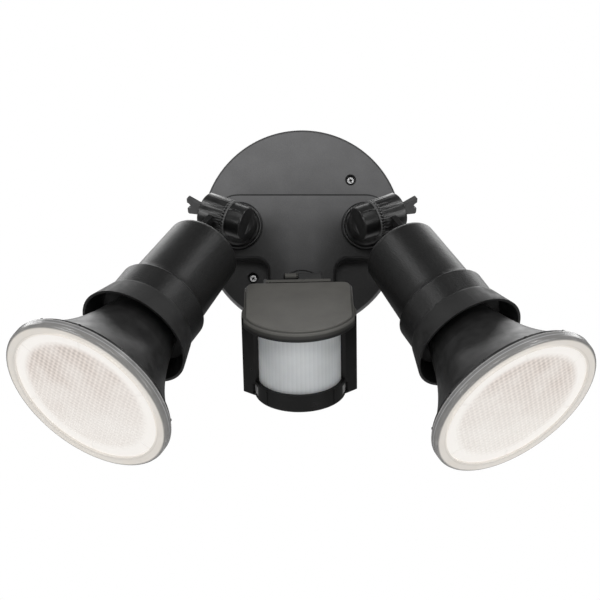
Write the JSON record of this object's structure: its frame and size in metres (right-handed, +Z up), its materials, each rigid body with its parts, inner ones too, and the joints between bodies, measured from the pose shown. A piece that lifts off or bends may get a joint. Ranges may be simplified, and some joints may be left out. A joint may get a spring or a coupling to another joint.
{
  "type": "motion sensor security light",
  "caption": "Wall-mounted security light: a round cover with a T-shaped housing, adjustable lampholders with reflector lamps on toothed knuckles and a hooded motion sensor below.",
  "frame": {"origin": "centre of the cover's rear face, on the wall", "axes": "+Z up, +Y into the wall, the light faces -Y, +X to the right seen from the front"},
  "size_m": [0.3837, 0.2143, 0.244],
  "materials": {
    "cover_plastic": "fine satin texture",
    "plate_plastic": "matt",
    "rubber": "matt",
    "screw_steel": "bright zinc",
    "terminal_plastic": "matt",
    "knuckle_plastic": "gloss",
    "nut_plastic": "satin",
    "wing_plastic": "satin",
    "holder_plastic": "leather grain",
    "ceramic": "glazed",
    "brass": "bright",
    "lamp_plastic": "satin",
    "board": "matt",
    "lamp_clear": "clear",
    "lamp_lens": "prismatic, glowing warm white",
    "sensor_plastic": "satin",
    "fresnel_plastic": "translucent satin",
    "window_plastic": "clear",
    "dial_plastic": "satin",
    "can_steel": "satin",
    "relay_plastic": "gloss"
  },
  "bodies": {
    "base": {"base_cover": "cover_plastic", "back_plate": "plate_plastic", "rim_seal": "rubber", "cable_grommet": "rubber", "cover_screws": "screw_steel", "terminal_block": "terminal_plastic", "terminal_screws": "screw_steel"},
    "left_arm": {"left_swivel_arm": "knuckle_plastic", "left_swivel_seal": "rubber", "left_lock_nut": "nut_plastic", "left_clamp_insert": "brass"},
    "left_clamp": {"left_wing_screw": "wing_plastic"},
    "left_head": {"left_lampholder": "holder_plastic", "left_lamp_socket": "ceramic", "left_socket_contacts": "brass", "left_lamp_gasket": "rubber", "left_lamp_body": "lamp_plastic", "left_lamp_cap": "brass", "left_led_board": "board", "left_lamp_ring": "lamp_clear", "left_lamp_lens": "lamp_lens"},
    "right_arm": {"right_swivel_arm": "knuckle_plastic", "right_swivel_seal": "rubber", "right_lock_nut": "nut_plastic", "right_clamp_insert": "brass"},
    "right_clamp": {"right_wing_screw": "wing_plastic"},
    "right_head": {"right_lampholder": "holder_plastic", "right_lamp_socket": "ceramic", "right_socket_contacts": "brass", "right_lamp_gasket": "rubber", "right_lamp_body": "lamp_plastic", "right_lamp_cap": "brass", "right_led_board": "board", "right_lamp_ring": "lamp_clear", "right_lamp_lens": "lamp_lens"},
    "sensor_mount": {"sensor_arm": "knuckle_plastic", "sensor_seal": "rubber", "sensor_lock_nut": "nut_plastic", "sensor_clamp_insert": "brass"},
    "sensor_clamp": {"sensor_wing_screw": "wing_plastic"},
    "sensor_head": {"sensor_back": "sensor_plastic", "sensor_front": "sensor_plastic", "sensor_hood": "cover_plastic", "fresnel_lens": "fresnel_plastic", "window_lenses": "window_plastic", "circuit_board": "board", "pir_element": "can_steel", "relay": "relay_plastic", "sensor_screws": "screw_steel"},
    "time_dial": {"time_knob": "dial_plastic"},
    "light_dial": {"light_knob": "dial_plastic"}
  },
  "joints": [
    {"name": "left_swivel", "type": "hinge", "parent": "base", "child": "left_arm", "pos_m": [-0.0451, -0.038, 0.0002], "axis": [0, 1, 0], "range_deg": [-10, 110]},
    {"name": "left_tilt", "type": "hinge", "parent": "left_arm", "child": "left_head", "pos_m": [-0.0546, -0.06623, 0.00381], "axis": [0.8796, -0.3387, -0.3341], "range_deg": [-94, 28]},
    {"name": "left_clamp_turn", "type": "hinge", "parent": "left_arm", "child": "left_clamp", "pos_m": [-0.0546, -0.06623, 0.00381], "axis": [0.8796, -0.3387, -0.3341], "range_deg": [0, 360]},
    {"name": "right_swivel", "type": "hinge", "parent": "base", "child": "right_arm", "pos_m": [0.0451, -0.038, 0.0002], "axis": [0, -1, 0], "range_deg": [-10, 110]},
    {"name": "right_tilt", "type": "hinge", "parent": "right_arm", "child": "right_head", "pos_m": [0.0546, -0.06623, 0.00381], "axis": [0.8796, 0.3387, 0.3341], "range_deg": [-97, 25]},
    {"name": "right_clamp_turn", "type": "hinge", "parent": "right_arm", "child": "right_clamp", "pos_m": [0.0546, -0.06623, 0.00381], "axis": [-0.8796, -0.3387, -0.3341], "range_deg": [0, 360]},
    {"name": "sensor_swivel", "type": "hinge", "parent": "base", "child": "sensor_mount", "pos_m": [0, -0.038, -0.0485], "axis": [0, -1, 0], "range_deg": [-25, 25]},
    {"name": "sensor_tilt", "type": "hinge", "parent": "sensor_mount", "child": "sensor_head", "pos_m": [-0.00264, -0.064, -0.04686], "axis": [0.9998, 0, 0.0209], "range_deg": [-45, 28]},
    {"name": "sensor_clamp_turn", "type": "hinge", "parent": "sensor_mount", "child": "sensor_clamp", "pos_m": [-0.00264, -0.064, -0.04686], "axis": [0.9998, 0, 0.0209], "range_deg": [0, 360]},
    {"name": "time_turn", "type": "hinge", "parent": "sensor_head", "child": "time_dial", "pos_m": [-0.01438, -0.06619, -0.1071], "axis": [0.0183, 0.4848, -0.8744], "range_deg": [-135, 135]},
    {"name": "light_turn", "type": "hinge", "parent": "sensor_head", "child": "light_dial", "pos_m": [0.01162, -0.06619, -0.10655], "axis": [0.0183, 0.4848, -0.8744], "range_deg": [-135, 135]}
  ]
}
